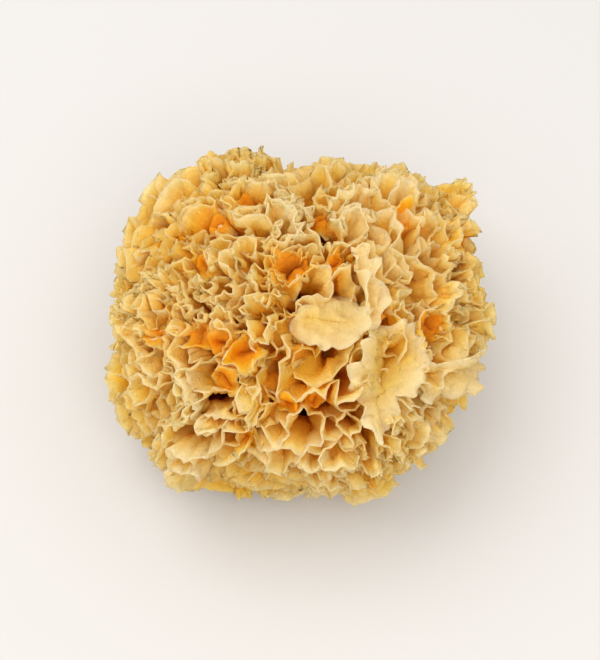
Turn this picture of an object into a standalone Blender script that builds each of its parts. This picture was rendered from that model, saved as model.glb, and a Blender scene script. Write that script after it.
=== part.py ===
"""Dried snow fungus: one head of ruffled fronds that grow out of a cut base.

The head stands on its cut face, with the origin at the middle of that face. +X is its
wide side, -Y the side that the photograph shows in front, and +Z is up.
"""

import math

import bpy
import numpy as np

MM = 0.001

# Head
HEAD_SIZE = np.array([88.5, 85.0, 53.5]) * MM  # width, depth and height, before the lumps
HEAD_LIFT = 1.2 * MM  # lowest ruffles above the surface that the base stands on
UNDERSIDE_FULLNESS = 1.35  # the lower half bellies out more than the upper half
LUMP_COUNT = 4
LUMP_HEIGHT = 2.6 * MM
LUMP_TURN = math.radians(38)  # where the first lump points, from +X towards +Y
DENT_DEPTH = 5.0 * MM
DENT_TURN = math.radians(318)
DENT_SPREAD = math.radians(24)

# Base
HEART_HEIGHT = 15.0 * MM  # the fronds all point away from this height on the axis
BASE_RADIUS = 12.0 * MM
BASE_SIDES = 28
DOME_RINGS = 6

# Fronds
FROND_COUNT = 15
FROND_SEED = 19
FROND_TURN = math.radians(23)
SHEET_THICKNESS = 1.6 * MM
JOIN_GAP = 1.2 * MM  # between a frond's root and the base
FIRST_HALF_WIDTH = 0.24  # radians, of a frond where it leaves the base
FIRST_POINTS = 7
LOWEST_FROND = math.radians(104)
LOWEST_POINT = math.radians(122)

# Ruffles
RUFFLE_PITCH = 9.0 * MM  # a sheet pushes its neighbours away from nearer than this
ROOT_PITCH_SHARE = 0.5
POINT_SHARE = 0.3  # of the pitch, the length of one step along a margin
GROWTH_STEPS = 170
SETTLE_STEPS = 50
STRETCH = 0.4
SMOOTH = 0.15
PUSH = 0.4
JITTER = 0.02
STEP_LIMIT = 0.12
SPLIT_CHANCE = 0.06
SPLIT_PRESSURE = 1.2
SKIPPED_NEIGHBOURS = 3

# Solid sheets
LEVELS = (0.0, 0.45, 1.0)  # shares of the way from the base to the margin
ROOT_SHARE = 0.12  # a root has the course that its frond has grown to this far out
MARGIN_STEP = 3.4 * MM
SMOOTHING = 8  # passes over a root; a margin has none
LOBE_PITCH = 12.0 * MM
NOTCH_DEPTH = 3.0 * MM

FROND_COLOUR = (0.88, 0.70, 0.37, 1.0)
BASE_COLOUR = (0.62, 0.40, 0.16, 1.0)


def base_reach(polar):
    """How far the base's skin is from the heart: a dome with a straight stump under it."""
    return BASE_RADIUS / np.sin(np.maximum(polar, math.pi / 2))


def ellipsoid_reach(directions, half, drop):
    """How far an ellipsoid's skin is, seen from a point this far below its middle."""
    ray = directions / half
    start = -drop / half[2]
    a = (ray * ray).sum(1)
    b = ray[:, 2] * start
    return (-b + np.sqrt(b * b - a * (start * start - 1))) / a


def head_reach(directions):
    """How far the head's outline is from the heart, along unit directions."""
    half = HEAD_SIZE / 2
    drop = HEAD_LIFT + half[2] - HEART_HEIGHT
    reach = ellipsoid_reach(directions, half, drop)
    lower = ellipsoid_reach(directions, half * [1, 1, UNDERSIDE_FULLNESS], drop)
    reach = np.where(reach * directions[:, 2] > drop, reach, lower)
    turn = np.arctan2(directions[:, 1], directions[:, 0])
    level = np.hypot(directions[:, 0], directions[:, 1]) ** 1.5
    off_dent = np.angle(np.exp(1j * (turn - DENT_TURN))) / DENT_SPREAD
    reach += level * LUMP_HEIGHT * np.cos(LUMP_COUNT * (turn - LUMP_TURN))
    reach -= level * DENT_DEPTH * np.exp(-off_dent * off_dent)
    to_surface = (HEART_HEIGHT - HEAD_LIFT) / np.maximum(-directions[:, 2], 1e-6)
    return np.minimum(reach, to_surface)


def reach_at(directions, share):
    """Distance from the heart at a share of the way from the base to the outline."""
    near = base_reach(np.arccos(np.clip(directions[:, 2], -1, 1))) + JOIN_GAP
    return near + (head_reach(directions) - near) * share


def unit(vectors):
    return vectors / np.linalg.norm(vectors, axis=-1, keepdims=True)


def first_arcs(rng):
    """The roots of the fronds: short arcs spread evenly round the heart."""
    directions, owners = [], []
    golden = math.pi * (3 - math.sqrt(5))
    for frond in range(FROND_COUNT):
        height = 1 - (frond + 0.5) / FROND_COUNT * (1 - math.cos(LOWEST_FROND))
        turn = FROND_TURN + frond * golden
        flat = math.sqrt(1 - height * height)
        middle = np.array([flat * math.cos(turn), flat * math.sin(turn), height])
        across = unit(np.cross([0.0, 0.0, 1.0], middle))
        up = np.cross(middle, across)
        tilt = rng.uniform(-0.6, 0.6) if height < 0.8 else rng.uniform(0, math.pi)
        along = math.cos(tilt) * across + math.sin(tilt) * up
        for place in np.linspace(-FIRST_HALF_WIDTH, FIRST_HALF_WIDTH, FIRST_POINTS):
            directions.append(unit(middle + along * place))
            owners.append(frond)
    return np.array(directions), np.array(owners)


def crowding(points, pitch):
    """Which way, and how hard, each point is pushed by the sheets that are too near."""
    squares = (points * points).sum(1)
    apart = squares[:, None] + squares[None, :] - 2 * points @ points.T
    apart = np.sqrt(np.maximum(apart, 1e-18))
    weight = np.clip(1 - apart / pitch, 0, None)
    index = np.arange(len(points))
    for offset in range(-SKIPPED_NEIGHBOURS, SKIPPED_NEIGHBOURS + 1):
        here = index[max(0, -offset) : len(points) - max(0, offset)]
        weight[here, here + offset] = 0
    pressure = weight.sum(1)
    weight /= apart
    push = (points * weight.sum(1)[:, None] - weight @ points) * pitch
    return push, pressure


def moved(directions, owners, share, growing, rng):
    """One step of growth: the new directions, and the segments that split."""
    points = directions * reach_at(directions, share)[:, None]
    pitch = RUFFLE_PITCH * (ROOT_PITCH_SHARE + (1 - ROOT_PITCH_SHARE) * share)
    rest = pitch * POINT_SHARE
    joined = np.append(owners[:-1] == owners[1:], False)
    edges = np.vstack([points[1:] - points[:-1], np.zeros(3)])
    lengths = np.where(joined, np.linalg.norm(edges, axis=1), rest)
    pull = (STRETCH * (1 - rest / lengths) * joined)[:, None] * edges
    push, pressure = crowding(points, pitch)
    force = pull + PUSH * push
    force[1:] -= pull[:-1]
    inner = np.append(False, joined[1:] & joined[:-1])
    force[inner] += SMOOTH * (np.roll(points, 1, 0) + np.roll(points, -1, 0) - 2 * points)[inner] / 2
    force += rng.normal(0, JITTER * pitch * growing, force.shape)
    size = np.linalg.norm(force, axis=1)
    force *= np.minimum(1, STEP_LIMIT * pitch / np.maximum(size, 1e-12))[:, None]
    found = unit(points + force)
    lowest = math.cos(LOWEST_POINT)
    low = found[:, 2] < lowest
    found[low, :2] = unit(found[low, :2]) * math.sin(LOWEST_POINT)
    found[low, 2] = lowest
    room = growing * (pressure < SPLIT_PRESSURE) * (lengths > 0.5 * rest)
    split = joined & ((lengths > 1.5 * rest) | (rng.random(len(points)) < SPLIT_CHANCE * room))
    return np.round(found, 9), np.nonzero(split)[0]


def grown_fronds():
    """Grows all the margins together, from the base out to the head's outline.

    A margin gets longer as it moves out, and has to fold to find room. Returns the
    directions of every point at each level, and the frond that each point is in.
    """
    rng = np.random.default_rng(FROND_SEED)
    directions, owners = first_arcs(rng)
    kept = []
    for step in range(GROWTH_STEPS + SETTLE_STEPS):
        share = min(1.0, step / GROWTH_STEPS)
        growing = step < GROWTH_STEPS
        if len(kept) < len(LEVELS) - 1 and share >= max(LEVELS[len(kept)], ROOT_SHARE):
            kept.append(directions)
        directions, split = moved(directions, owners, share, growing, rng)
        middles = unit(directions[split] + directions[np.minimum(split + 1, len(owners) - 1)])
        kept = [np.insert(k, split + 1, unit(k[split] + k[split + 1]), 0) for k in kept]
        directions = np.insert(directions, split + 1, middles, 0)
        owners = np.insert(owners, split + 1, owners[split])
    return kept + [directions], owners


def sampled(track, steps):
    """Rows of a track at evenly spaced steps along it, which may fall between its rows."""
    index = np.arange(len(track))
    return np.stack([np.interp(steps, index, column) for column in track.T], 1)


def sheet_points(tracks):
    """The points of one frond's sheet, level by level, from its root to its lobed margin."""
    margin = tracks[-1] * head_reach(tracks[-1])[:, None]
    along = np.append(0, np.cumsum(np.linalg.norm(np.diff(margin, axis=0), axis=1)))
    count = max(4, round(along[-1] / MARGIN_STEP))
    places = np.linspace(0, along[-1], count + 1)
    steps = np.interp(places, along, np.arange(len(along)))
    lobes = max(1, round(along[-1] / LOBE_PITCH))
    notch = np.abs(np.cos(math.pi * lobes * places / along[-1])) ** 6
    rows = []
    for track, share in zip(tracks, LEVELS):
        directions = sampled(track, steps)
        for _ in range(round(SMOOTHING * (1 - share))):
            directions[1:-1] = (directions[:-2] + 2 * directions[1:-1] + directions[2:]) / 4
        directions = unit(directions)
        reach = reach_at(directions, share) - NOTCH_DEPTH * notch * share * share
        rows.append(directions * reach[:, None] + [0, 0, HEART_HEIGHT])
    return np.array(rows)


def material(name, colour, roughness):
    made = bpy.data.materials.new(name)
    made.use_nodes = True
    shader = made.node_tree.nodes["Principled BSDF"]
    shader.inputs["Base Color"].default_value = colour
    shader.inputs["Roughness"].default_value = roughness
    shader.inputs["Metallic"].default_value = 0.0
    return made


def add_object(name, mesh, look, collection):
    mesh.materials.append(look)
    made = bpy.data.objects.new(name, mesh)
    collection.objects.link(made)
    return made


def add_frond(name, tracks, look, collection):
    """A frond: an open sheet lofted from its root to its margin, made solid."""
    rows = sheet_points(tracks)
    levels, count = rows.shape[:2]
    mesh = bpy.data.meshes.new(name)
    quads = [
        (row * count + i, row * count + i + 1, (row + 1) * count + i + 1, (row + 1) * count + i)
        for row in range(levels - 1)
        for i in range(count - 1)
    ]
    mesh.from_pydata(rows.reshape(-1, 3).tolist(), [], quads)
    mesh.shade_smooth()
    frond = add_object(name, mesh, look, collection)
    solid = frond.modifiers.new("Thickness", "SOLIDIFY")
    solid.thickness = SHEET_THICKNESS
    solid.offset = 0.0
    return frond


def add_base(look, collection):
    """The base: a turned stump with a domed top, which ends in the flat cut face."""
    polars = np.linspace(0, math.pi / 2, DOME_RINGS + 1)
    profile = [
        (BASE_RADIUS * math.sin(polar), 0, HEART_HEIGHT + BASE_RADIUS * math.cos(polar))
        for polar in polars
    ]
    profile += [(BASE_RADIUS, 0, 0), (0, 0, 0)]
    mesh = bpy.data.meshes.new("base")
    mesh.from_pydata(profile, [(i, i + 1) for i in range(len(profile) - 1)], [])
    base = add_object("base", mesh, look, collection)
    turned = base.modifiers.new("Turned", "SCREW")
    turned.steps = turned.render_steps = BASE_SIDES
    turned.use_merge_vertices = True
    turned.merge_threshold = 0.00005
    return base


def main():
    for old in list(bpy.data.objects):
        bpy.data.objects.remove(old)
    collection = bpy.data.collections.new("dried_snow_fungus")
    bpy.context.scene.collection.children.link(collection)
    frond_look = material("dried_frond", FROND_COLOUR, 0.6)
    base_look = material("dried_base", BASE_COLOUR, 0.8)
    add_base(base_look, collection)
    kept, owners = grown_fronds()
    for frond in range(FROND_COUNT):
        tracks = [directions[owners == frond] for directions in kept]
        add_frond(f"frond_{frond + 1:02d}", tracks, frond_look, collection)


main()
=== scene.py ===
import math
import bpy
import numpy as np
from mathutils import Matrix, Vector


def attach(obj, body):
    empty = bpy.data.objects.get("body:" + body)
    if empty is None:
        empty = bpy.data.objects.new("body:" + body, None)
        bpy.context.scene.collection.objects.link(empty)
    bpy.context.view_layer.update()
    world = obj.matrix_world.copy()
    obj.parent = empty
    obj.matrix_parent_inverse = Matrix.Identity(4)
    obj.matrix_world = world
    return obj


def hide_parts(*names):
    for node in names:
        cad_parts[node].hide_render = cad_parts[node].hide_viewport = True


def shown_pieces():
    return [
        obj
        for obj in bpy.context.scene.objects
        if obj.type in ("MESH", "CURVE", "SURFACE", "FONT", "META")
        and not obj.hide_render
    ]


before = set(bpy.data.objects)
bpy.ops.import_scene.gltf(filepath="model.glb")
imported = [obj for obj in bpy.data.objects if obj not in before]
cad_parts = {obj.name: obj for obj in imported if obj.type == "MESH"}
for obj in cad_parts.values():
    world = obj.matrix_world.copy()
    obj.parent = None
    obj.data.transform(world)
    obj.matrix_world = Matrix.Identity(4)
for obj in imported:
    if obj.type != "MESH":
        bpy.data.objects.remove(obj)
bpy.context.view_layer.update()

mm = 0.001
print("snow fungus: frame loaded")


# the shape that the fronds grow into, the same as the solids' own

head = {
    "size": np.array([88.5, 85.0, 53.5]) * mm,
    "lift": 1.2 * mm,
    "undersideFullness": 1.35,
    "lumpCount": 4,
    "lumpHeight": 2.6 * mm,
    "lumpTurn": math.radians(38),
    "dentDepth": 5 * mm,
    "dentTurn": math.radians(318),
    "dentSpread": math.radians(24),
    "heartHeight": 15 * mm,  # every frond points away from this height on the axis
    "baseRadius": 12 * mm,
}
heart = np.array([0.0, 0.0, head["heartHeight"]])


def smoothstep(low, high, value):
    share = np.clip((value - low) / (high - low), 0, 1)
    return share * share * (3 - 2 * share)


def sizeOf(vectors):
    return np.linalg.norm(vectors, axis=-1)


def unit(vectors):
    return vectors / sizeOf(vectors)[..., None]


def baseReach(directions):
    polar = np.arccos(np.clip(directions[..., 2], -1, 1))
    return head["baseRadius"] / np.sin(np.maximum(polar, math.pi / 2))


def ellipsoidReach(directions, half, drop):
    ray = directions / half
    start = -drop / half[2]
    a = (ray * ray).sum(-1)
    b = ray[..., 2] * start
    return (-b + np.sqrt(b * b - a * (start * start - 1))) / a


def headReach(directions):
    half = head["size"] / 2
    drop = head["lift"] + half[2] - head["heartHeight"]
    reach = ellipsoidReach(directions, half, drop)
    lower = ellipsoidReach(directions, half * [1, 1, head["undersideFullness"]], drop)
    reach = np.where(reach * directions[..., 2] > drop, reach, lower)
    turn = np.arctan2(directions[..., 1], directions[..., 0])
    level = np.hypot(directions[..., 0], directions[..., 1]) ** 1.5
    offDent = np.angle(np.exp(1j * (turn - head["dentTurn"]))) / head["dentSpread"]
    reach = reach + level * head["lumpHeight"] * np.cos(head["lumpCount"] * (turn - head["lumpTurn"]))
    reach = reach - level * head["dentDepth"] * np.exp(-offDent * offDent)
    toSurface = (head["heartHeight"] - head["lift"]) / np.maximum(-directions[..., 2], 1e-6)
    return np.minimum(reach, toSurface)


# growth: the margins get longer as they move out, and fold to find room

growth = {
    "fronds": 15,
    "seed": 19,
    "turn": math.radians(23),
    "firstHalfWidth": 0.24,
    "firstPoints": 7,
    "lowestFrond": math.radians(104),
    "lowestPoint": math.radians(122),
    "joinGap": 1.2 * mm,
    "arcTilt": 0.6,
    "crownHeight": 0.8,
    "pitch": 9 * mm,  # how far apart the folds stay
    "rootPitchShare": 0.5,
    "rootShare": 0.12,
    "pointShare": 0.3,  # how far apart a curve's points are, in pitches
    "shortest": 0.5,
    "longest": 1.5,
    "steps": 170,
    "stretch": 0.4,
    "smooth": 0.15,
    "push": 0.4,
    "jitter": 0.02,
    "stepLimit": 0.12,
    "splitChance": 0.06,
    "splitPressure": 1.2,
    "skipped": 3,  # a point's next ones on its own curve don't push it
    "cells": 128,
}
frill = {  # the outer part, which grows on with a finer pitch
    "start": 0.4,
    "steps": 230,
    "settle": 30,
    "pitch": 2 * mm,
    "splitChance": 0.1,
    "splitPressure": 1.3,
    "rebuild": 4,  # neighbours are listed anew every so many steps
    "pairReach": 1.25,
    "pocketStart": 0.3,
    "levelStep": 0.05,
}


def named(keys, rows):  # a dictionary for each row
    return [dict(zip(keys.split(), row)) for row in rows]


# what stands where: in mm right and up of the head's middle, as the photograph sees it

viewTilt = math.radians(62)
petals = named("tips radius lean pitch", [  # broader folds, whose tips lean
    ((6, 1), 7, (-0.5, -4), 4.0), ((19, -14), 9, (1, -4), 4.2),
    ((34, -14), 8, (3, -3), 4.2), ((24, 15), 9, (2, -4), 4.4),
    ((21, 31), 7, (2, 3), 4.2), ((-24, -16), 9, (-3, -4), 4.2),
    ((-22, -29), 8, (-3, -2), 4.0), ((2, -25), 9, (0, -3), 4.2),
    ((-3, 28), 9, (-1, 3), 3.0), ((11, 26), 8, (1, 2), 3.0),
])
nets = [{"place": (-13, 9), "radius": 13, "pitch": 1.6}]  # finer folds, which stand upright
leaves = [  # broad leaves: ends and depths of the midrib, rim points as x, y and rise
    {
        "ends": [(21.5, -4.8), (16.3, -16)], "depths": (7, 1.5),
        "rim": [(20.5, 1, 0.5), (16, 1, 0), (13, 0, 1.5), (11, -5, 2), (9.5, -10, 2.5), (11.3, -15, 2),
                (12.6, -19, 1.5), (15.5, -23, 2), (18, -19.5, 1), (20, -16.5, 1.5), (22.2, -12.5, 2.5),
                (24, -8.5, 3), (25.2, -4.5, 3), (24.5, -1, 1.5)],
    },
    {
        "ends": [(27, -10), (34, -10)], "depths": (4, 1.5),
        "rim": [(24.3, -8, 1.5), (29, -7.3, 2.5), (33, -7, 2.5), (37, -5.5, 2), (41.2, -4.5, 1),
                (39.5, -9.3, 1), (37, -12, 0.5), (33.5, -14.5, 0.5), (29.5, -15.5, 0), (25.5, -14.5, 0)],
    },
    {
        "ends": [(1.5, 2.5), (10, 1)], "depths": (2.4, 1.4),
        "folds": 1.2, "sink": 3, "frayed": 0.5 * mm,
        "rim": [(-2.5, 0.5, -3.5), (0, -3, -0.5), (4, -4.8, 1), (8, -4.6, 1.2), (12.5, -1.5, 0.8),
                (13, 3, 0), (12.5, 8, -2), (9, 11, -6), (5, 8, -7), (0.5, 5, -6)],
    },
    {
        "ends": [(12.3, 14.5), (14.7, 3)], "depths": (0.8, 0.8),
        "rim": [(10.6, 16.5, 1.5), (13, 18, 1.5), (14.3, 14, 2.5), (15.4, 8, 2.5), (16.4, 2, 2),
                (14, 0.8, 2), (12.6, 6, 2.5), (11.3, 12, 2.5)],
    },
]
lean = {  # the outer folds lean this way and that
    "size": 4.5 * mm,
    "span": 30 * mm,
    "level": 40,  # mm from the heart, where the lean is read
    "droop": 2 * mm,
    "petalCalm": 0.5,
    "netCalm": 0.85,
    "seeds": (9449, 6251, 6842),
}
swells = named("place radius height", [  # where the outline is fuller or less full
    ((33, -24), 12, -6), ((-38, -19), 10, -3.5), ((-43, 8), 9, 1.5),
    ((38, 30), 9, 4), ((-33, 31), 9, 2.5), ((-4, -36), 13, -3.5),
    ((-25, -37), 11, -4), ((-30, -46), 13, -4), ((24, -35), 9, -3),
    ((25, -44), 11, -3.5), ((45, 13), 8, 2.5), ((15, 37), 9, 1.5),
    ((43, 0), 8, -2.5), ((-43, -11), 7, -2), ((-24, 38), 8, 2),
])
pockets = named("place radius sink", [  # open pockets, and how far the margins sink there
    ((-2, 14), 2.9, 3), ((7.5, 14.2), 1.6, 2), ((-22, -1.4), 2.0, 2.5),
    ((-17, -3), 1.8, 2.5), ((-11.8, -4.9), 2.0, 2.5), ((-16.2, -11), 2.0, 2.5),
    ((-12.1, -15.7), 1.6, 2), ((-2.9, -16), 1.5, 2), ((3.2, -15.7), 1.6, 2),
    ((-12.1, -23), 1.5, 2), ((28.6, 1.5), 2.2, 2.5), ((17, 4.5), 1.6, 2),
    ((22.5, 24), 1.6, 2), ((37.5, 19.5), 2.2, 3), ((4.4, 24.4), 1.5, 2),
    ((-18.8, 24), 1.5, 2), ((-12.3, 28.7), 1.4, 2), ((-21, 13.9), 1.5, 2),
    ((-31.5, -1.4), 1.6, 2),
])
opening = {  # how a pocket opens; room, depth, still and its painted shade are in its radii
    "room": 1.7,  # how wide the folds keep apart
    "push": 0.35,  # how hard they are kept apart
    "depth": 2.2,  # how deep it is open
    "taper": 0.6,
    "still": 3,  # how far round it the folds lean less
    "stillShare": 0.8,
    "pocketShade": 1.7,  # how far round it the sheets are painted darker and more orange: painted shade in the pocket
    "pocketShadeEdge": 1,
    "pocketShadeStrength": 1.6,
    "webClear": 1.5,  # no webs nearer than this
    "webBelow": 10 * mm,  # but for webs this far behind its mouth
}
viewRight = np.array([1.0, 0.0, 0.0])
viewUp = np.array([0.0, math.sin(viewTilt), math.cos(viewTilt)])
viewBack = np.array([0.0, -math.cos(viewTilt), math.sin(viewTilt)])
viewMiddle = np.array([0.0, 0.0, 25 * mm])
viewSearch = {"from": 45 * mm, "halvings": 24}


def seenDirections(places):
    middle = viewMiddle - heart + (places[..., :1] * viewRight + places[..., 1:] * viewUp) * mm
    low = np.zeros(middle.shape[:-1] + (1,))
    step = viewSearch["from"]
    for _ in range(viewSearch["halvings"]):  # nears where the view meets the head's surface
        points = middle + viewBack * (low + step)
        reach = sizeOf(points)
        inside = reach < headReach(points / reach[..., None])
        low += step * inside[..., None]
        step /= 2
    return unit(middle + viewBack * low)


def nearness(spot, directions, radius=None):
    away = sizeOf(directions - spot["middle"]) * spot["reach"]
    return np.exp(-(away / (radius or spot["radius"]) / mm) ** 3)


def nearPockets(directions, radii, more=0):
    return np.max([
        nearness(pocket, directions, more + radii * pocket["radius"]) for pocket in pockets
    ], axis=0)


def planeWaves(points, length, rng, count=20, spread=(0.6, 1.5)):
    ways = unit(rng.normal(0, 1, (count, 3))) * (2 * math.pi / length)
    ways *= rng.uniform(*spread, (count, 1))
    phases = rng.uniform(0, 2 * math.pi, count)
    return np.sin(points @ ways.T + phases).sum(-1) * math.sqrt(2 / count)


def leanOf(directions):
    points = directions * lean["level"] * mm
    field = np.stack([
        planeWaves(points, lean["span"], np.random.default_rng(seed)) for seed in lean["seeds"]
    ], -1)
    field = field * lean["size"]
    field[..., 2] -= lean["droop"]
    field = field - directions * (field * directions).sum(-1, keepdims=True)
    weights = [nearness(petal, directions)[..., None] for petal in petals]
    field = field * (1 - lean["petalCalm"] * np.max(weights, axis=0))
    for weight, petal in zip(weights, petals):
        field = field + weight * (petal["lean"][0] * viewRight + petal["lean"][1] * viewUp) * mm
    for net in nets:
        field = field * (1 - lean["netCalm"] * nearness(net, directions)[..., None])
    return field


for petal in petals:
    petal["place"] = np.array(petal["tips"]) - petal["lean"]
for spot in petals + nets + swells + pockets:
    spot["middle"] = seenDirections(np.array(spot["place"], float))
    spot["reach"] = headReach(spot["middle"])
    spot["mouth"] = spot["middle"] * spot["reach"]


def underLeaf(leaf, directions):  # 1 under a leaf, 0 beyond its rim
    points = directions * headReach(directions)[..., None] + heart - viewMiddle
    facing = smoothstep(0.1, 0.4, directions @ viewBack)
    middle = np.mean(leaf["ends"], axis=0)
    rim = np.array(leaf["rim"])[:, :2] - middle
    off = np.stack([points @ viewRight, points @ viewUp], -1) / mm - middle
    turns = np.arctan2(rim[:, 1], rim[:, 0])
    order = np.argsort(turns)
    turn = np.arctan2(off[..., 1], off[..., 0])
    edge = np.interp(turn, turns[order], sizeOf(rim)[order], period=2 * math.pi)
    return facing * (1 - smoothstep(0.7, 1.0, sizeOf(off) / edge))


def reachAt(directions, share):
    near = baseReach(directions) + growth["joinGap"]
    return near + (headReach(directions) - near) * share


def firstArcs(rng):
    directions, owners = [], []
    golden = math.pi * (3 - math.sqrt(5))
    for frond in range(growth["fronds"]):
        height = 1 - (frond + 0.5) / growth["fronds"] * (1 - math.cos(growth["lowestFrond"]))
        turn = growth["turn"] + frond * golden
        flat = math.sqrt(1 - height * height)
        middle = np.array([flat * math.cos(turn), flat * math.sin(turn), height])
        across = unit(np.cross([0.0, 0.0, 1.0], middle))
        up = np.cross(middle, across)
        slant = growth["arcTilt"]
        tilts = (-slant, slant) if height < growth["crownHeight"] else (0, math.pi)
        tilt = rng.uniform(*tilts)
        along = math.cos(tilt) * across + math.sin(tilt) * up
        half = growth["firstHalfWidth"]
        for place in np.linspace(-half, half, growth["firstPoints"]):
            directions.append(unit(middle + along * place))
            owners.append(frond)
    return np.array(directions), np.array(owners)


def crowding(points, pitch):
    squares = (points * points).sum(1)
    apart = squares[:, None] + squares[None, :] - 2 * points @ points.T
    apart = np.sqrt(np.maximum(apart, 1e-18))
    weight = np.clip(1 - apart / pitch, 0, None)
    index = np.arange(len(points))
    for offset in range(-growth["skipped"], growth["skipped"] + 1):
        here = index[max(0, -offset) : len(points) - max(0, offset)]
        weight[here, here + offset] = 0
    pressure = weight.sum(1)
    weight /= apart
    push = (points * weight.sum(1)[:, None] - weight @ points) * pitch
    return push, pressure


def nearPairs(points, radius):
    side = growth["cells"]
    cells = np.floor(points / radius).astype(np.int64) + side // 2
    keys = (cells[:, 0] * side + cells[:, 1]) * side + cells[:, 2]
    order = np.argsort(keys, kind="stable")
    sortedKeys = keys[order]
    pairs = []
    for x, y, z in np.ndindex(3, 3, 3):
        wanted = keys + ((x - 1) * side + y - 1) * side + z - 1
        start = np.searchsorted(sortedKeys, wanted, "left")
        found = np.searchsorted(sortedKeys, wanted, "right") - start
        first = np.repeat(np.arange(len(points)), found)
        within = np.arange(len(first)) - np.repeat(np.cumsum(found) - found, found)
        second = order[np.repeat(start, found) + within]
        apart = ((points[first] - points[second]) ** 2).sum(1)
        keep = (second > first + growth["skipped"]) & (apart < radius * radius)
        pairs.append([first[keep], second[keep]])
    return np.hstack(pairs)


def pairCrowding(points, pitch, pairs):
    first, second = pairs
    between = points[first] - points[second]
    apart = np.maximum(sizeOf(between), 1e-9)
    reach = (pitch[first] + pitch[second]) / 2
    weight = np.clip(1 - apart / reach, 0, None)
    pushes = between * (weight * reach / apart)[:, None]
    count = len(points)
    push = np.stack([
        np.bincount(first, pushes[:, axis], count) - np.bincount(second, pushes[:, axis], count)
        for axis in range(3)
    ], 1)
    pressure = np.bincount(first, weight, count) + np.bincount(second, weight, count)
    return push, pressure


def grownStep(stage, directions, owners, share, pitch, growing, rng, pairs=None, spots=()):
    points = directions * reachAt(directions, share)[:, None]
    rest = pitch * growth["pointShare"]
    joined = np.append(owners[:-1] == owners[1:], False)
    edges = np.vstack([points[1:] - points[:-1], np.zeros(3)])
    lengths = np.where(joined, sizeOf(edges), rest)
    pull = (growth["stretch"] * (1 - rest / lengths) * joined)[:, None] * edges
    if pairs is None:
        push, pressure = crowding(points, pitch)
    else:
        push, pressure = pairCrowding(points, pitch, pairs)
    force = pull + growth["push"] * push
    force[1:] -= pull[:-1]
    inner = np.append(False, joined[1:] & joined[:-1])
    bend = np.roll(points, 1, 0) + np.roll(points, -1, 0) - 2 * points
    force[inner] += growth["smooth"] * bend[inner] / 2
    scale = pitch if pairs is None else pitch[:, None]
    force += rng.normal(0, growth["jitter"], force.shape) * scale * growing
    for middle, radius in spots:
        off = points - middle * reachAt(middle[None, :], share)[0]
        away = sizeOf(off)
        near = np.clip(1 - away / radius, 0, 1)
        force += off / np.maximum(away, 1e-6)[:, None] * (near * radius * opening["push"])[:, None]
    force *= np.minimum(1, growth["stepLimit"] * pitch / np.maximum(sizeOf(force), 1e-12))[:, None]
    found = unit(points + force)
    lowest = math.cos(growth["lowestPoint"])
    low = found[:, 2] < lowest
    found[low, :2] = unit(found[low, :2]) * math.sin(growth["lowestPoint"])
    found[low, 2] = lowest
    room = growing * (pressure < stage["splitPressure"]) * (lengths > growth["shortest"] * rest)
    chance = rng.random(len(points)) < stage["splitChance"] * room
    split = joined & ((lengths > growth["longest"] * rest) | chance)
    return np.round(found, 9), np.nonzero(split)[0]


def inserted(kept, directions, owners, split):
    ends = np.minimum(split + 1, len(owners) - 1)
    kept = [np.insert(k, split + 1, unit(k[split] + k[ends]), 0) for k in kept]
    directions = np.insert(directions, split + 1, unit(directions[split] + directions[ends]), 0)
    owners = np.insert(owners, split + 1, owners[split])
    return kept, directions, owners


def grownMargins():
    rng = np.random.default_rng(growth["seed"])
    directions, owners = firstArcs(rng)
    shares, kept = [], []
    nextShare = growth["rootShare"]
    for step in range(round(growth["steps"] * frill["start"])):
        share = step / growth["steps"]
        if share >= nextShare:
            shares.append(share if shares else 0.0)
            kept.append(directions)
            nextShare = share + frill["levelStep"]
        pitch = growth["pitch"] * (growth["rootPitchShare"] + (1 - growth["rootPitchShare"]) * share)
        directions, split = grownStep(growth, directions, owners, share, pitch, True, rng)
        kept, directions, owners = inserted(kept, directions, owners, split)
    print("snow fungus: inner folds grown,", len(owners), "points")

    startPitch = pitch
    middles = [(pocket["middle"], pocket["radius"] * opening["room"] * mm) for pocket in pockets]
    pairs = None
    for step in range(frill["steps"] + frill["settle"]):
        passed = min(1.0, step / frill["steps"])
        share = frill["start"] + (1 - frill["start"]) * passed
        growing = step < frill["steps"]
        if share >= nextShare and growing:
            shares.append(share)
            kept.append(directions)
            nextShare = share + frill["levelStep"]
        goal = np.full(len(directions), frill["pitch"])
        for petal in petals:
            broader = nearness(petal, directions) * (petal["pitch"] * mm - frill["pitch"])
            goal = np.maximum(goal, frill["pitch"] + broader)
        for net in nets:
            goal += nearness(net, directions) * (net["pitch"] * mm - goal)
        pitch = startPitch + (goal - startPitch) * passed
        if step % frill["rebuild"] == 0:
            points = directions * reachAt(directions, share)[:, None]
            pairs = nearPairs(points, pitch.max() * frill["pairReach"])
        spots = ()
        if passed > frill["pocketStart"]:
            spots = [(middle, radius * passed) for middle, radius in middles]
        directions, split = grownStep(
            frill, directions, owners, share, pitch, growing, rng, pairs, spots)
        kept, directions, owners = inserted(kept, directions, owners, split)
        pairs += np.searchsorted(split, pairs, "left")
    # what settled at the end is spread back over the outer levels
    change = directions - kept[-1]
    for level, share in enumerate(shares):
        kept[level] = unit(kept[level] + change * smoothstep(frill["start"], shares[-1], share))
    shares.append(1.0)
    kept.append(directions)
    print("snow fungus: frills grown,", len(owners), "points,", len(shares), "levels")
    return np.array(shares), kept, owners


shares, kept, owners = grownMargins()


def addObject(name, data):
    made = bpy.data.objects.new(name, data)
    bpy.context.scene.collection.objects.link(made)
    return made


def addMesh(name, points, faces, material):
    mesh = bpy.data.meshes.new(name)
    mesh.from_pydata(points, [], faces)
    mesh.validate()
    mesh.shade_smooth()
    mesh.materials.append(material)
    return addObject(name, mesh)


# sheets: each frond is a grid from its root to its margin

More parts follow.
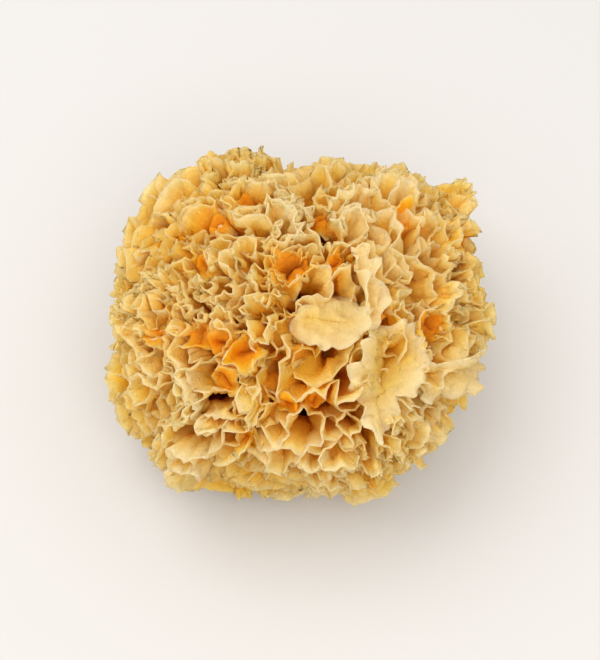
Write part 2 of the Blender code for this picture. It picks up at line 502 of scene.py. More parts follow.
sheet = {
    "seed": 100,
    "columnStep": 0.75 * mm,
    "columnsApart": 4,  # deep inside, one column in so many is kept
    "innerRows": 4,
    "outerRows": 14,
    "rootInset": 1.6 * mm,  # the roots start inside the base
    "rowCrowding": 1.3,  # the rows lie closer towards the margin
    "smoothing": 8,
    "marginSmoothing": 2,
    "petalRise": 1 * mm,
    "petalCalm": 0.5,
    "leanStart": 0.45,
    "leanDip": 30 * mm,  # a leaning margin comes down as on a circle of this radius
    "leafSink": 4,  # mm that the margins sink under a leaf
    "flare": 0.45 * mm,  # the margins curl over to one side
    "petalFlare": 1 * mm,
    "flareStart": 0.72,
    "flareSpan": 9 * mm,
    "flareSmoothing": 12,
    "normalSmoothing": 3,
    "crumples": [(6 * mm, 0.5 * mm), (2.6 * mm, 0.26 * mm)],  # length and height
    "rootThickness": 0.8 * mm,
    "edgeThickness": 0.3 * mm,
    "thicknessLevels": 50,
    "floorGap": 0.35 * mm,
}
margin = {  # lobes with notches between them, and torn teeth
    "lobeWidth": (6 * mm, 14 * mm),
    "lobeHeight": 1.6 * mm,
    "lobeRound": 1.6 * mm,
    "notchDepth": 1.6 * mm,
    "notchShares": (0.3, 1.6),
    "toothPitch": 2.7 * mm,
    "toothShift": (3 * mm, 0.8),  # span, and how many teeth
    "toothDepth": 1.1 * mm,
    "biteSpan": 6 * mm,
    "torn": (0.8 * mm, 0.15 * mm),  # span and depth
}
toneDepth = {  # how the depth that the colours go by is measured; deeper is painted more orange and darker, partly the tissue's own colour and partly painted shade
    "alongSheet": 0.7,
    "belowSurface": 0.35,
    "surface": 1 * mm,
    "skirtFade": 0.4,
}
ruffles = named("length height start", [  # they start at a share of the way from the root
    (4.2 * mm, 0.85 * mm, 0.62), (2.1 * mm, 0.55 * mm, 0.74), (1.3 * mm, 0.28 * mm, 0.82),
])


def lengthsAlong(track):
    return np.append(0, np.cumsum(sizeOf(np.diff(track, axis=0))))


def curveThrough(track, steps):
    low = np.clip(np.floor(steps).astype(int), 0, len(track) - 2)
    part = (steps - low).reshape((-1,) + (1,) * (track.ndim - 1))
    before = track[np.maximum(low - 1, 0)]
    here = track[low]
    after = track[low + 1]
    beyond = track[np.minimum(low + 2, len(track) - 1)]
    return 0.5 * (
        2 * here
        + (after - before) * part
        + (2 * before - 5 * here + 4 * after - beyond) * part ** 2
        + (3 * here - before - 3 * after + beyond) * part ** 3
    )


def wander(places, spacing, rng):
    count = int(places[-1] / spacing) + 4
    return curveThrough(rng.normal(0, 1, count), places / spacing)


def marginProfile(along, rng):
    spans = []
    while sum(spans) < along[-1]:
        spans.append(rng.uniform(*margin["lobeWidth"]))
    stops = np.append(0, np.cumsum(spans))
    stops *= along[-1] / stops[-1]
    lobe = np.clip(np.searchsorted(stops, along, "right") - 1, 0, len(stops) - 2)
    across = 2 * (along - stops[lobe]) / (stops[lobe + 1] - stops[lobe]) - 1
    heights = rng.normal(0, 1, len(stops) - 1)[lobe] * margin["lobeHeight"]
    depths = rng.uniform(*margin["notchShares"], len(stops) - 1)[lobe] * margin["notchDepth"]
    profile = heights * (1 - across ** 4) - depths * across ** 14 - margin["lobeRound"] * across ** 4
    span, shift = margin["toothShift"]
    teeth = along / margin["toothPitch"] + shift * wander(along, span, rng)
    bite = 0.35 + 0.65 * smoothstep(-0.6, 1.2, wander(along, margin["biteSpan"], rng))
    profile += margin["toothDepth"] * bite * (0.6 - np.abs(np.cos(math.pi * teeth)) ** 1.5)
    span, depth = margin["torn"]
    profile += depth * wander(along, span, rng)
    return profile


def sheetGrid(frond):
    rng = np.random.default_rng(sheet["seed"] + frond)
    own = owners == frond
    tracks = np.array([level[own] for level in kept])
    for level, share in enumerate(shares):
        for _ in range(round(sheet["smoothing"] * (1 - share)) + sheet["marginSmoothing"]):
            track = tracks[level]
            track[1:-1] = (track[:-2] + 2 * track[1:-1] + track[2:]) / 4
    tracks = unit(tracks)
    along = lengthsAlong(tracks[-1] * headReach(tracks[-1])[:, None])
    count = round(along[-1] / sheet["columnStep"] / sheet["columnsApart"]) * sheet["columnsApart"]
    places = np.linspace(0, along[-1], count + 1)
    columns = np.interp(places, along, np.arange(len(along)))
    rows = np.concatenate([
        np.linspace(0, frill["start"], sheet["innerRows"], endpoint=False),
        1 - (1 - frill["start"]) * np.linspace(1, 0, sheet["outerRows"]) ** sheet["rowCrowding"],
    ])
    byColumn = unit(np.array([curveThrough(track, columns) for track in tracks]))
    directions = unit(curveThrough(byColumn, np.interp(rows, shares, np.arange(len(shares)))))
    share = rows[:, None]
    near = baseReach(directions) - sheet["rootInset"]
    pale = np.max([nearness(petal, directions[-1]) for petal in petals], axis=0)
    calm = 1 - sheet["petalCalm"] * pale
    plain = headReach(directions)
    reach = plain + marginProfile(places, rng) * calm + sheet["petalRise"] * pale
    for leaf in leaves:
        reach -= leaf.get("sink", sheet["leafSink"]) * mm * underLeaf(leaf, directions[-1])
    level = plain
    for swell in swells:
        level = level + swell["height"] * mm * nearness(swell, directions)
    reach += level - plain
    for pocket in pockets:
        room = opening["room"] * pocket["radius"]
        reach -= pocket["sink"] * mm * nearness(pocket, directions[-1], room)
    still = nearPockets(directions[-1], opening["still"])
    upright = 1 - opening["stillShare"] * still
    strength = smoothstep(sheet["leanStart"], 1.0, share) * share * upright
    leaning = leanOf(directions) * strength[..., None]
    reach -= (leaning * leaning).sum(-1) / sheet["leanDip"]
    points = directions * (near + (reach - near) * share)[..., None] + leaning
    points = opened(ruffled(rows, places, points, pale * (1 - still), rng))
    height = sizeOf(points)
    # colour depth below the margin and under the head's surface: partly the tissue's own colour, partly
    # painted shade in the folds
    depth = toneDepth["alongSheet"] * (height[-1] - height)
    depth = depth + toneDepth["belowSurface"] * np.clip(level + toneDepth["surface"] - height, 0, None)
    # painted shade: the sheets round each pocket are toned as deeper, so darker and more orange
    pocketShade = nearPockets(directions, opening["pocketShade"], opening["pocketShadeEdge"])
    depth = depth * (1 + opening["pocketShadeStrength"] * pocketShade)
    depth = depth * (1 - toneDepth["skirtFade"] * smoothstep(0.1, -0.3, directions[..., 2]))
    return {"rows": rows, "places": places, "points": points, "pale": pale, "depth": depth}


def opened(points):  # moves the sheets aside, to leave the pockets open
    for pocket in pockets:
        seen = points - pocket["mouth"]
        x, y = seen @ viewRight, seen @ viewUp
        away = np.maximum(np.hypot(x, y), 1e-6)
        radius = pocket["radius"] * mm
        below = np.clip(1 + seen @ viewBack / (opening["depth"] * radius), 0, 1)
        wide = radius * below ** opening["taper"]
        moved = ((away ** 3 + wide ** 3) ** (1 / 3) - away) / away
        points = points + (x * moved)[..., None] * viewRight + (y * moved)[..., None] * viewUp
    return points


def sheetNormals(points):
    acrossRows = np.gradient(points, axis=0)
    alongRows = np.gradient(points, axis=1)
    for _ in range(sheet["normalSmoothing"]):
        alongRows[:, 1:-1] = (alongRows[:, :-2] + alongRows[:, 1:-1] + alongRows[:, 2:]) / 3
    return unit(np.cross(acrossRows, alongRows))


def ruffled(rows, places, points, pale, rng):
    normals = sheetNormals(points)
    share = rows[:, None]
    size = sheet["flare"] * (0.9 + 0.4 * wander(places, sheet["flareSpan"], rng))
    size = size + sheet["petalFlare"] * pale
    flare = normals * size[:, None]
    for _ in range(sheet["flareSmoothing"]):
        flare[:, 1:-1] = (flare[:, :-2] + 2 * flare[:, 1:-1] + flare[:, 2:]) / 4
    points = points + flare * smoothstep(sheet["flareStart"], 1.04, share)[..., None]
    shift = 0
    for wave in ruffles:
        phase = places / wave["length"] + 0.5 * wander(places, 2.5 * wave["length"], rng)
        strength = 0.35 + 0.65 * smoothstep(-1, 1.2, wander(places, 4 * wave["length"], rng))
        height = wave["height"] * strength
        bend = np.arcsin(np.sin(2 * math.pi * phase + 1.5 * share)) * height * 0.75
        shift = shift + bend * smoothstep(wave["start"], 1.02, share)
    (broad, high), (small, low) = sheet["crumples"]
    shift = shift + high * planeWaves(points, broad, rng) * smoothstep(0.2, 0.6, share)
    shift = shift + low * planeWaves(points, small, rng)
    return points + normals * shift[..., None]


def sheetFaces(columnCount):
    apart, rowCount = sheet["columnsApart"], sheet["innerRows"]
    coarse = np.arange(rowCount * (columnCount // apart + 1)).reshape(rowCount, -1)
    fine = coarse.size + np.arange(sheet["outerRows"] * columnCount).reshape(-1, columnCount)
    steps = [fine[0, apart - step : columnCount - step : apart] for step in range(apart + 1)]
    join = np.stack([coarse[-1, :-1], coarse[-1, 1:]] + steps, -1)
    return fine, [gridFaces(coarse), gridFaces(fine), join]


def gridFaces(grid):
    corners = grid[..., :-1, :-1], grid[..., :-1, 1:], grid[..., 1:, 1:], grid[..., 1:, :-1]
    return np.stack(corners, -1).reshape(-1, 4)


def thickness(shares):
    thinnest = sheet["edgeThickness"] / sheet["rootThickness"]
    return thinnest + (1 - thinnest) * np.clip(1 - shares, 0, 1) ** 0.8


# webs: small cross walls that join a fold to its neighbour and close the channels to cells

web = {
    "seed": 31,
    "gap": (1.4 * mm, 5.6 * mm),
    "apartAlong": 2.2,  # along a margin, its two ends are this many gaps apart
    "spacing": 2.5 * mm,
    "start": 0.62,  # where from the root a web starts
    "rows": 6,
    "columns": 6,
    "drop": (-0.4 * mm, 2.6 * mm),
    "ragged": 0.25 * mm,
    "bow": 1.1 * mm,
    "twist": 0.4 * mm,
    "depthSpan": 24 * mm,  # from the base to the margin
    "toneDepth": (30 * mm, 10 * mm),
    "pale": 0.3,
}


def webPlaces(grids):
    rng = np.random.default_rng(web["seed"])
    counts = [len(grid["places"]) for grid in grids]
    fronds = np.repeat(np.arange(len(grids)), counts)
    columns = np.concatenate([np.arange(count) for count in counts])
    crest = np.vstack([grid["points"][-3] for grid in grids])
    first, second = pairs = nearPairs(crest, web["gap"][1])
    apart = sizeOf(crest[first] - crest[second])
    along = np.abs(columns[first] - columns[second]) * sheet["columnStep"]
    separate = (fronds[first] != fronds[second]) | (along > web["apartAlong"] * apart)
    keep = (apart > web["gap"][0]) & separate
    both, other = np.hstack([pairs[:, keep], pairs[::-1, keep]])
    order = np.lexsort((np.tile(apart[keep], 2), both))
    nearest = order[np.unique(both[order], return_index=True)[1]]
    middles = (crest[both[nearest]] + crest[other[nearest]]) / 2
    clear = np.ones(len(nearest), bool)
    for pocket in pockets:
        seen = middles - pocket["mouth"]
        away = np.hypot(seen @ viewRight, seen @ viewUp)
        beside = away > opening["webClear"] * pocket["radius"] * mm
        clear &= beside | (seen @ viewBack < -opening["webBelow"])
    nearest, middles = nearest[clear], middles[clear]
    chosen, taken = [], np.zeros(len(nearest), bool)
    for place in rng.permutation(len(nearest)):
        if not taken[place]:
            chosen.append(place)
            taken |= ((middles - middles[place]) ** 2).sum(1) < web["spacing"] ** 2
    chosen = nearest[chosen]
    return [(fronds[side], columns[side]) for side in (both[chosen], other[chosen])]


def webGrids(grids):
    rng = np.random.default_rng(web["seed"] + 1)
    places = webPlaces(grids)
    owner = places[0][0]
    count = len(owner)
    rows = grids[0]["rows"]
    sides = [
        np.array([grids[frond]["points"][:, column] for frond, column in zip(*side)]) for side in places
    ]
    across = np.linspace(0, 1, web["columns"])
    hump = 4 * across * (1 - across)
    drop = rng.uniform(*web["drop"], count)[:, None] * hump ** 0.8
    drop = drop + rng.normal(0, web["ragged"], (count, web["columns"])) * (hump > 0)
    top = 1 - drop / web["depthSpan"]
    down = np.linspace(0, 1, web["rows"])[:, None]
    share = web["start"] + (top[:, None, :] - web["start"]) * down
    step = np.interp(share, rows, np.arange(len(rows)))
    low = np.clip(np.floor(step).astype(int), 0, len(rows) - 2)
    part = (step - low)[..., None]
    number = np.arange(count)[:, None, None]
    ends = [side[number, low] * (1 - part) + side[number, low + 1] * part for side in sides]
    points = ends[0] + (ends[1] - ends[0]) * across[:, None]
    points = points + unit(points) * np.clip(share - 1, 0, None)[..., None] * web["depthSpan"]
    sideways = unit(np.cross(ends[1][:, -1:, :1] - ends[0][:, -1:, :1], points[:, -1:, :1]))
    bow = rng.uniform(-1, 1, (count, 1, 1)) * web["bow"] * hump * (0.4 + 0.6 * down)
    bow = bow + rng.uniform(-1, 1, (count, 1, 1)) * web["twist"] * np.sin(2 * math.pi * across) * down
    points = points + sideways * bow[..., None]
    # webs are toned deeper the lower they reach: partly the tissue's own colour, partly painted shade in
    # the cells
    ownDepth, topDepth = web["toneDepth"]
    depth = (share[:, -1:, :] - share) * ownDepth + np.clip(1 - share[:, -1:, :], 0, 1) * topDepth
    return owner, points, share, depth


# broad leaves: shallow cups that open over the folds, and the sunken floors of the pockets

leafShape = {  # what a leaf doesn't say itself is taken from here
    "seed": 500,
    "rows": 14,
    "columnStep": 0.6 * mm,
    "hollow": 2.0,
    "wrinkles": [  # spacing in mm, height, power
        (4.5, 1.7 * mm, 1.3), (2.4, 0.8 * mm, 2.5), (1.2, 0.3 * mm, 4.0),
    ],
    "folds": 1,
    "frayed": 0.9 * mm,
    "fraySpan": 1.6 * mm,
    "outlineSteps": 400,
    "smoothing": 20,
    "edge": 0.9,
    "crumples": [(4 * mm, 0.5 * mm), (2 * mm, 0.22 * mm)],
    # the hollow of a leaf is painted darker towards its middle: painted shade
    "paintedShadeDepth": 1.5,
    "toneFade": 4,
    "pale": 1.0,
}
pocketFloor = {  # in mm; across, midrib and depths go with the pocket's radius
    "seed": 800,
    "corners": 8,
    "across": (1.3, 2.0),
    "sunk": (2.4, 4.2),
    "midrib": 0.9,
    "depths": ((1.2, 2), (1, 2)),
    # pocket floors are painted deep orange to dark: painted shade at the bottom of the pockets
    "look": {"hollow": 1.5, "folds": 1.1, "paintedShadeDepth": 12, "toneFade": 2, "pale": 0},
}


def pocketCup(number, pocket):
    rng = np.random.default_rng(pocketFloor["seed"] + number)
    place, radius = np.array(pocket["place"]), pocket["radius"]
    rim = []
    for turn in np.linspace(0, 2 * math.pi, pocketFloor["corners"], endpoint=False):
        way = np.array([math.cos(turn), math.sin(turn)])
        corner = place + way * radius * rng.uniform(*pocketFloor["across"])
        rim.append((*corner, -rng.uniform(*pocketFloor["sunk"])))
    half = radius * pocketFloor["midrib"] * unit(rng.normal(0, 1, 2))
    depths = [share * radius + more for share, more in pocketFloor["depths"]]
    return {"ends": (place - half, place + half), "depths": depths, "rim": rim, **pocketFloor["look"]}


def ringNoise(places, spacing, rng):
    knots = max(4, round(places[-1] / spacing))
    heights = rng.normal(0, 1, knots)
    track = np.concatenate([heights[-1:], heights, heights[:2]])
    return curveThrough(track, places / places[-1] * knots + 1)


def leafGrid(number, leaf):
    leaf = {**leafShape, **leaf}
    rng = np.random.default_rng(leaf["seed"] + number)
    corners = np.array(leaf["rim"], float) * mm
    track = np.vstack([corners[-1:], corners, corners[:2]])
    outline = curveThrough(track, np.linspace(0, len(corners), leaf["outlineSteps"]) + 1)
    along = lengthsAlong(outline[:, :2])
    count = round(along[-1] / leaf["columnStep"])
    places = np.linspace(0, along[-1], count + 1)
    rim = np.stack([np.interp(places, along, outline[:, axis]) for axis in range(3)], 1)
    down = np.linspace(0, 1, leaf["rows"])[:, None]
    ends = np.array(leaf["ends"]) * mm
    rib = ends[1] - ends[0]
    passed = np.clip((rim[:, :2] - ends[0]) @ rib / (rib @ rib), 0, 1)
    for _ in range(leaf["smoothing"]):
        passed = (np.roll(passed, 1) + 2 * passed + np.roll(passed, -1)) / 4
    deep = (leaf["depths"][0] + (leaf["depths"][1] - leaf["depths"][0]) * passed) * mm
    root = ends[0] + passed[:, None] * rib
    spread = rim[:, :2] - root
    frayed = ringNoise(places, leaf["fraySpan"], rng) * leaf["frayed"]
    stretch = down * (1 + frayed / sizeOf(spread) * down ** 4)
    seen = root + spread * stretch[..., None]
    rise = rim[:, 2] * down ** 2 - deep * (1 - down) ** leaf["hollow"]
    for spacing, height, power in leaf["wrinkles"]:
        rise = rise + ringNoise(places, spacing * mm, rng) * height * down ** power * leaf["folds"]
    directions = seenDirections(seen / mm)
    points = directions * (headReach(directions) + rise)[..., None]
    rough = sum(high * planeWaves(points, length, rng) for length, high in leaf["crumples"])
    points += rough[..., None] * directions
    # painted shade: a leaf's hollow is toned as deeper than it lies, darker towards the middle and palest
    # at the rim
    depth = (1 - down) ** 1.4 * deep * 1.6 + leaf["paintedShadeDepth"] * mm * (1 - down ** leaf["toneFade"])
    return points, leaf["edge"] + (1 - leaf["edge"]) * down + 0 * rise, depth, leaf["pale"]


def leafOwner(grids, leaf):
    root = seenDirections(np.mean(leaf["ends"], axis=0))
    away = [sizeOf(unit(grid["points"][-1]) - root).min() for grid in grids]
    return int(np.argmin(away))


def addSheet(frond, grid, webs, cups, material):
    points, depth = grid["points"], grid["depth"]
    inner, apart = sheet["innerRows"], sheet["columnsApart"]
    fine, faces = sheetFaces(points.shape[1])
    webPoints, webShares, webDepths = (part[webs[0] == frond] for part in webs[1:])
    webIndex = fine[-1, -1] + 1 + np.arange(webShares.size).reshape(webShares.shape)
    faces.append(gridFaces(webIndex))
    shares = np.broadcast_to(grid["rows"][:, None], depth.shape)
    own = (points, shares, depth, np.broadcast_to(grid["pale"], depth.shape))
    parts = [
        [part[:inner, ::apart] for part in own],
        [part[inner:] for part in own],
        [webPoints, webShares, webDepths, np.full(webShares.shape, web["pale"])],
    ]
    last = webIndex[-1, -1, -1] if len(webIndex) else fine[-1, -1]
    for *cup, cupPale in cups:
        cup = [part[:, :-1] for part in cup]
        index = last + 1 + np.arange(cup[1].size).reshape(cup[1].shape)
        faces.append(gridFaces(np.hstack([index, index[:, :1]])))
        parts.append(cup + [np.full(index.shape, cupPale)])
        last = index[-1, -1]
    points = np.vstack([part[0].reshape(-1, 3) for part in parts]) + heart
    points[:, 2] = np.maximum(points[:, 2], sheet["floorGap"])
    shares, depth, pale = (
        np.concatenate([part[item].ravel() for part in parts]) for item in (1, 2, 3))
    faces = [face for part in faces for face in part.tolist()]
    piece = addMesh(f"frondSheet{frond + 1:02d}", points.tolist(), faces, material)
    for name, values in (("depth", depth), ("pale", pale)):
        tone = piece.data.attributes.new(name, "FLOAT", "POINT")
        tone.data.foreach_set("value", values.astype(np.float32))
    thin = piece.vertex_groups.new(name="thickness")
    levels = np.round(thickness(shares) * sheet["thicknessLevels"]).astype(int)
    for level in np.unique(levels):
        thin.add(np.nonzero(levels == level)[0].tolist(), level / sheet["thicknessLevels"], "REPLACE")
    solid = piece.modifiers.new("Thickness", "SOLIDIFY")
    solid.thickness = sheet["rootThickness"]
    solid.offset = 0
    solid.vertex_group = "thickness"
    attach(piece, "root")
    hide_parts(f"frond_{frond + 1:02d}")


# base: the cut stump that the fronds grow from

stump = {
    "seed": 77,
    "turns": 140,
    "radius": 12 * mm,
    "domeHeight": 15 * mm,
    "lobes": [(3, 0.5 * mm), (5, 0.45 * mm), (8, 0.3 * mm), (13, 0.16 * mm)],
    "fibreCount": 47,
    "fibres": 0.16 * mm,
    "cutEdge": 0.9 * mm,
    "dish": 0.7 * mm,
    "tornDepth": 0.3 * mm,
    "rough": 0.12 * mm,
}


def stumpProfile():
    radius, edge, top = stump["radius"], stump["cutEdge"], stump["domeHeight"]
    rows = [(r, 0.0) for r in np.linspace(0.3 * mm, radius - edge, 18)]
    bends = (0.4, 0.8, 1.2, math.pi / 2)
    rows += [(radius - edge * (1 - math.sin(a)), edge * (1 - math.cos(a))) for a in bends]
    rows += [(radius, z) for z in np.linspace(edge, top, 18)[1:]]
    rows += [(radius * math.cos(a), top + radius * math.sin(a)) for a in np.linspace(0, 1.54, 14)[1:]]
    return np.array(rows)


def addStump(material):
    rng = np.random.default_rng(stump["seed"])
    turns = np.linspace(0, 2 * math.pi, stump["turns"], endpoint=False)
    profile = stumpProfile()
    radius, height = profile[:, :1], profile[:, 1:]
    share = radius / stump["radius"]
    swell = 0
    for count, size in stump["lobes"]:
        phase = rng.uniform(0, 2 * math.pi)
        swell = swell + size * np.cos(count * turns + phase + height / (9 * mm) * rng.normal())
    fibres = np.cos(stump["fibreCount"] * turns + 2.5 * np.cos(3 * turns) + height / (4 * mm))
    across = radius + (swell + fibres * stump["fibres"]) * share ** 2
    points = np.stack([across * np.cos(turns), across * np.sin(turns), height + 0 * turns], -1)
    torn = np.abs(planeWaves(points, 3.5 * mm, rng)) + 0.5 * np.abs(planeWaves(points, 1.4 * mm, rng))
    onCut = smoothstep(1.0, 0.9, share) * (height < 0.1 * mm)
    points[..., 2] += onCut * (stump["dish"] * (1 - share ** 2) + stump["tornDepth"] * torn)
    rough = stump["rough"] * planeWaves(points, 2 * mm, rng) * (height > 0)
    points += rough[..., None] * unit(points - heart)
    points[..., 2] = np.maximum(points[..., 2], 0)
    index = np.arange(points[..., 0].size).reshape(points.shape[:2])
    faces = gridFaces(np.hstack([index, index[:, :1]])).tolist()
    faces += [index[0].tolist()[::-1], index[-1].tolist()]
    piece = addMesh("stump", points.reshape(-1, 3).tolist(), faces, material)
    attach(piece, "root")
    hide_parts("base")


# materials

frondTones = {  # colours by how deep below the margin, as shares of the deepest: more orange inward as the tissue's own colour, and darker at the deep end as painted shade in the folds and pockets
    "deepest": 20 * mm,
    "gold": [(0.0, (1.0, 0.87, 0.47)), (0.03, (1.0, 0.82, 0.31)), (0.1, (1.0, 0.70, 0.10)),
             (0.2, (1.0, 0.55, 0.02)), (0.44, (1.0, 0.42, 0.005)), (0.7, (0.95, 0.33, 0.002)),
             (1.0, (0.6, 0.15, 0.002))],
    "pale": [(0.0, (1.0, 0.90, 0.58)), (0.08, (1.0, 0.86, 0.46)), (0.26, (1.0, 0.77, 0.22)),
             (0.48, (1.0, 0.56, 0.04)), (0.75, (0.98, 0.38, 0.004)), (1.0, (0.6, 0.15, 0.002))],
    "zoneSize": 60.0,  # noise cells a metre
    "zoneRange": (0.38, 0.66),
    "zonePale": 0.5,
    "drift": {"Drift": 0.22, "Drift Color": (1.0, 0.60, 0.08, 1),
              "Fleck": 0.22, "Fleck Color": (0.95, 0.45, 0.04, 1), "Size": 260.0},
    "wrinkles": {"Size": 900.0, "Depth": 1.0},
    "wrinkleHeight": 0.7 * mm,
    "specular": 0.2,
    "roughness": (0.5, 0.74),
    "glow": 0.5,  # how much of the light goes through
}
baseTones = {
    "drift": {"Color": (0.62, 0.29, 0.055, 1), "Drift": 0.7, "Drift Color": (0.38, 0.15, 0.025, 1),
              "Fleck": 0.6, "Fleck Color": (0.14, 0.055, 0.012, 1), "Size": 320.0},
    "wrinkles": {"Size": 700.0, "Depth": 1.0},
    "wrinkleHeight": 0.8 * mm,
    "roughness": 0.85,
}
texture = {  # what the two shared groups are made of
    "twist": 0.6,
    "finerWrinkles": 3.1,
    "finerShare": 0.25,
    "driftRange": (0.35, 0.7),
    "finerFlecks": 3.7,
    "fleckRange": (0.58, 0.74),
}
white = (1, 1, 1, 1)


def feed(tree, node, values):  # links what is a socket, and sets what is a value
    for name, value in values.items():
        if isinstance(value, bpy.types.NodeSocket):
            tree.links.new(value, node.inputs[name])
        else:
            node.inputs[name].default_value = value


def addNode(tree, kind, values, **settings):
    node = tree.nodes.new("ShaderNode" + kind)
    for name, value in settings.items():
        setattr(node, name, value)
    feed(tree, node, values)
    return node


def noiseNode(tree, place, scale, detail, roughness=0.55, distortion=0.0):
    return addNode(tree, "TexNoise", {
        "Vector": place, "Scale": scale, "Detail": detail,
        "Roughness": roughness, "Distortion": distortion,
    }).outputs["Fac"]


def mathNode(tree, operation, first, second):
    return addNode(tree, "Math", {0: first, 1: second}, operation=operation).outputs[0]


def rangeNode(tree, value, before=(0.0, 1.0), after=(0.0, 1.0)):
    ends = dict(zip(("From Min", "From Max", "To Min", "To Max"), (*before, *after)))
    return addNode(tree, "MapRange", {"Value": value, **ends}).outputs[0]


def mixColours(tree, share, first, second):
    return addNode(tree, "Mix", {"Factor": share, 6: first, 7: second}, data_type="RGBA").outputs[2]


def rampNode(tree, share, stops):
    node = addNode(tree, "ValToRGB", {0: share})
    elements = node.color_ramp.elements
    for position, colour in stops[1:-1]:  # the ramp already has its two ends
        elements.new(position)
    for element, (position, colour) in zip(elements, stops):
        element.color = (*colour, 1)
    return node.outputs[0]


def newGroup(name, inputs, output):
    group = bpy.data.node_groups.new(name, "ShaderNodeTree")
    for socket, value in inputs.items():
        kind = "NodeSocketFloat" if isinstance(value, float) else "NodeSocketColor"
        made = group.interface.new_socket(socket, in_out="INPUT", socket_type=kind)
        made.default_value = value
    group.interface.new_socket(output[0], in_out="OUTPUT", socket_type=output[1])
    given = group.nodes.new("NodeGroupInput").outputs
    place = group.nodes.new("ShaderNodeNewGeometry").outputs["Position"]
    return group, given, place, group.nodes.new("NodeGroupOutput")


def wrinkleGroup():
    tree, given, place, out = newGroup(
        "driedWrinkles", {"Size": 900.0, "Depth": 1.0}, ("Height", "NodeSocketFloat"))
    broad = noiseNode(tree, place, given["Size"], 3.0, distortion=texture["twist"])
    finer = mathNode(tree, "MULTIPLY", given["Size"], texture["finerWrinkles"])
    fine = mathNode(tree, "MULTIPLY", noiseNode(tree, place, finer, 2.0), texture["finerShare"])
    crest = mathNode(tree, "ABSOLUTE", mathNode(tree, "SUBTRACT", broad, 0.5), 0.0)
    both = mathNode(tree, "ADD", crest, fine)
    feed(tree, out, {"Height": mathNode(tree, "MULTIPLY", both, given["Depth"])})
    return tree


def driftGroup():
    values = {"Color": white, "Drift": 0.3, "Drift Color": white, "Fleck": 0.3, "Fleck Color": white}
    tree, given, place, out = newGroup(
        "toneDrift", {**values, "Size": 200.0}, ("Color", "NodeSocketColor"))
    rise = rangeNode(tree, noiseNode(tree, place, given["Size"], 3.0, 0.6), texture["driftRange"])
    share = mathNode(tree, "MULTIPLY", rise, given["Drift"])
    drifted = mixColours(tree, share, given["Color"], given["Drift Color"])
    finer = mathNode(tree, "MULTIPLY", given["Size"], texture["finerFlecks"])
    spots = rangeNode(tree, noiseNode(tree, place, finer, 4.0, 0.7), texture["fleckRange"])
    share = mathNode(tree, "MULTIPLY", spots, given["Fleck"])
    feed(tree, out, {"Color": mixColours(tree, share, drifted, given["Fleck Color"])})
    return tree


wrinkles = wrinkleGroup()
drift = driftGroup()


def newMaterial(name):
    made = bpy.data.materials.new(name)
    made.use_nodes = True
    return made, made.node_tree, made.node_tree.nodes["Principled BSDF"]


def wrinkledNormal(tree, tones):
    height = addNode(tree, "Group", tones["wrinkles"], node_tree=wrinkles).outputs[0]
    values = {"Strength": 1.0, "Distance": tones["wrinkleHeight"], "Height": height}
    return addNode(tree, "Bump", values).outputs[0]


def frondMaterial():
    made, tree, shader = newMaterial("driedFrond")
    place = addNode(tree, "NewGeometry", {})
    depth, pale = (
        addNode(tree, "Attribute", {}, attribute_name=name).outputs["Fac"] for name in ("depth", "pale"))
    depth = mathNode(tree, "DIVIDE", depth, frondTones["deepest"])
    zone = noiseNode(tree, place.outputs["Position"], frondTones["zoneSize"], 2.0)
    patch = rangeNode(tree, zone, frondTones["zoneRange"])
    pale = mathNode(tree, "MAXIMUM", pale, mathNode(tree, "MULTIPLY", patch, frondTones["zonePale"]))
    gold, cream = (rampNode(tree, depth, frondTones[name]) for name in ("gold", "pale"))
    values = {"Color": mixColours(tree, pale, gold, cream), **frondTones["drift"]}
    colour = addNode(tree, "Group", values, node_tree=drift).outputs[0]
    normal = wrinkledNormal(tree, frondTones)
    feed(tree, shader, {
        "Base Color": colour,
        "Specular IOR Level": frondTones["specular"],
        "Roughness": rangeNode(tree, zone, after=frondTones["roughness"]),
        "Normal": normal,
    })
    # a thin sheet lets light through: a ray that enters leaves again by the far side
    glow = addNode(tree, "BsdfTranslucent", {"Color": colour, "Normal": normal})
    lit = addNode(tree, "MixShader", {0: frondTones["glow"], 1: shader.outputs[0], 2: glow.outputs[0]})
    clear = addNode(tree, "BsdfTransparent", {})
    behind = place.outputs["Backfacing"]
    thin = addNode(tree, "MixShader", {0: behind, 1: lit.outputs[0], 2: clear.outputs[0]})
    feed(tree, tree.nodes["Material Output"], {"Surface": thin.outputs[0]})
    return made


def baseMaterial():
    made, tree, shader = newMaterial("driedBase")
    feed(tree, shader, {
        "Base Color": addNode(tree, "Group", baseTones["drift"], node_tree=drift).outputs[0],
        "Roughness": baseTones["roughness"],
        "Normal": wrinkledNormal(tree, baseTones),
    })
    return made


# the head

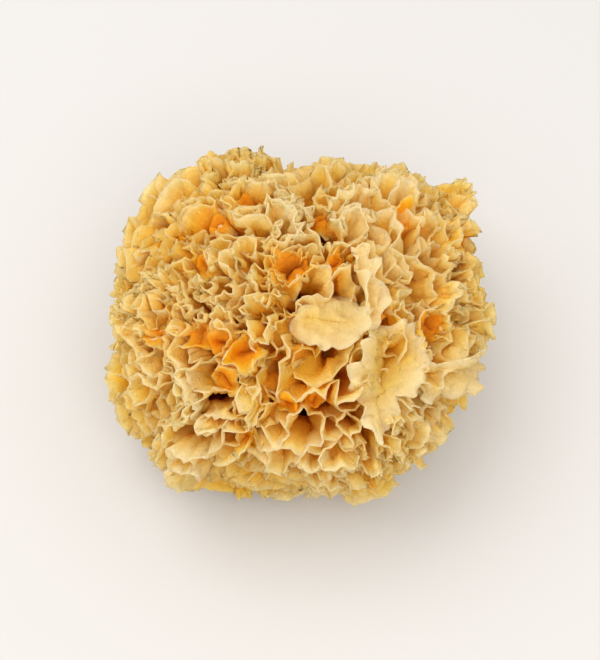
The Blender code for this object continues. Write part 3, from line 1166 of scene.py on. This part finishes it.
frondLook = frondMaterial()
grids = [sheetGrid(frond) for frond in range(growth["fronds"])]
webs = webGrids(grids)
print("snow fungus:", len(webs[0]), "webs")
leaves += [pocketCup(number, pocket) for number, pocket in enumerate(pockets)]
leafOwners = [leafOwner(grids, leaf) for leaf in leaves]
for frond, grid in enumerate(grids):
    cups = [leafGrid(number, leaves[number]) for number, owner in enumerate(leafOwners) if owner == frond]
    addSheet(frond, grid, webs, cups, frondLook)
faceCounts = [len(piece.data.polygons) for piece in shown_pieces()]
print("snow fungus: fronds built,", sum(faceCounts), "faces before thickness, at most", max(faceCounts))
addStump(baseMaterial())
print("snow fungus: stump built")


# floor, lights and camera

studio = {
    "floorHalf": 3,
    "floor": {"Base Color": (0.63, 0.62, 0.61, 1), "Roughness": 0.9},
    "sky": {"Color": (1.0, 0.98, 0.95, 1), "Strength": 0.95},
    "lights": named("name place size power colour", [
        ("keyLight", (-0.3, 0.1, 0.75), 0.6, 2.6, (1.0, 0.98, 0.95)),
        ("frontLight", (0.1, -0.4, 0.62), 0.45, 1.7, (1.0, 0.97, 0.93)),
    ]),
    "lightAim": (0, 0, 0.02),
    "lens": 90,
    "cameraAim": (0, 0, 24 * mm),
    "cameraAway": 0.34,
}


def addFloor():
    half = studio["floorHalf"]
    corners = [(-half, -half, 0), (half, -half, 0), (half, half, 0), (-half, half, 0)]
    made, tree, shader = newMaterial("paleFloor")
    feed(tree, shader, studio["floor"])
    floor = addMesh("floor", corners, [(0, 1, 2, 3)], made)


def turned(way):
    return way.to_track_quat("-Z", "Y").to_euler()


def addLight(settings):
    light = bpy.data.lights.new(settings["name"], "AREA")
    light.energy = settings["power"]
    light.size = settings["size"]
    light.color = settings["colour"]
    lamp = addObject(settings["name"], light)
    lamp.location = settings["place"]
    lamp.rotation_euler = turned(Vector(studio["lightAim"]) - Vector(settings["place"]))


def addWorld():
    world = bpy.data.worlds.new("studio")
    world.use_nodes = True
    feed(world.node_tree, world.node_tree.nodes["Background"], studio["sky"])
    bpy.context.scene.world = world


def addCamera():
    camera = bpy.data.cameras.new("camera")
    camera.sensor_fit = "HORIZONTAL"
    camera.sensor_width = 36
    camera.lens = studio["lens"]
    eye = addObject("camera", camera)
    away = Vector((0, -math.cos(viewTilt), math.sin(viewTilt)))
    eye.location = Vector(studio["cameraAim"]) + away * studio["cameraAway"]
    eye.rotation_euler = turned(-away)
    bpy.context.scene.camera = eye


addFloor()
addWorld()
for light in studio["lights"]:
    addLight(light)
addCamera()
bpy.context.scene.view_settings.view_transform = "Standard"
print("snow fungus: floor, lights and camera placed")
